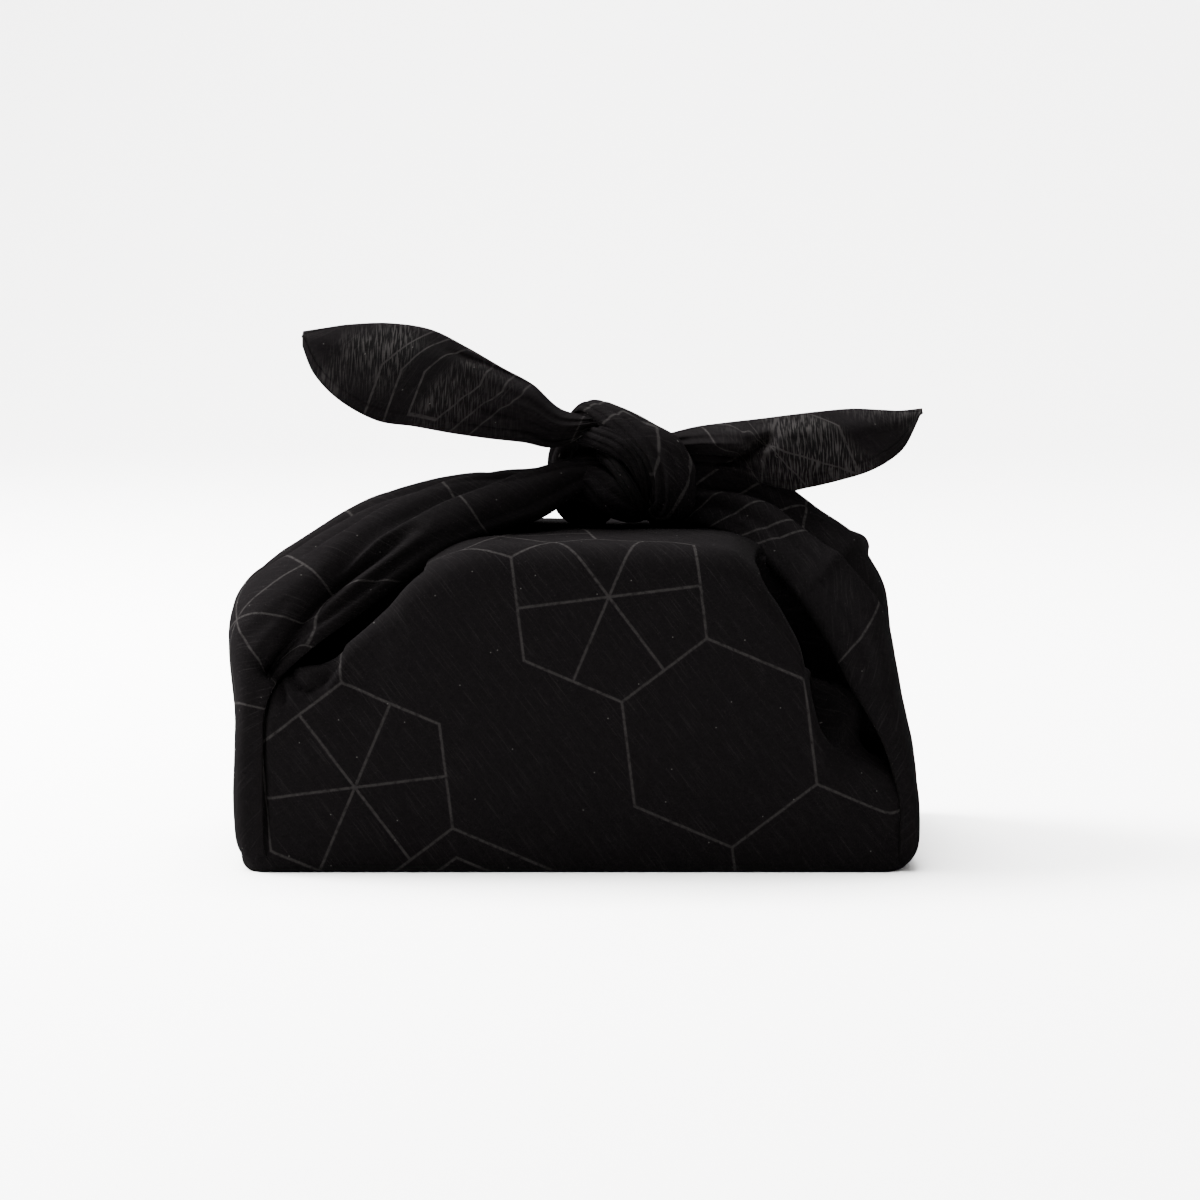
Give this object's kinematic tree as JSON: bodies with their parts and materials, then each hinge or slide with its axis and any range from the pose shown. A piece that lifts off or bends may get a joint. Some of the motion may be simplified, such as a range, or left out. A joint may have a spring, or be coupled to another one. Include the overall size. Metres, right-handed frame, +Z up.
{
  "type": "furoshiki wrap",
  "caption": "Square of dark slub cotton wrapped round a box and tied on top in a knot whose two loose corners stand out as leaves; hollow inside, with a gap beside the knot to lift it by.",
  "frame": {"origin": "middle of the footprint, on the surface that the wrap stands on", "axes": "+X to the right along the two loose corners, +Y to the back, +Z up through the knot"},
  "size_m": [0.2184, 0.129, 0.1652],
  "materials": {
    "cotton_cloth": "matt plain weave with slub threads and thin grey dyed lines"
  },
  "bodies": {
    "root": {"wrap_cloth": "cotton_cloth"}
  },
  "joints": []
}
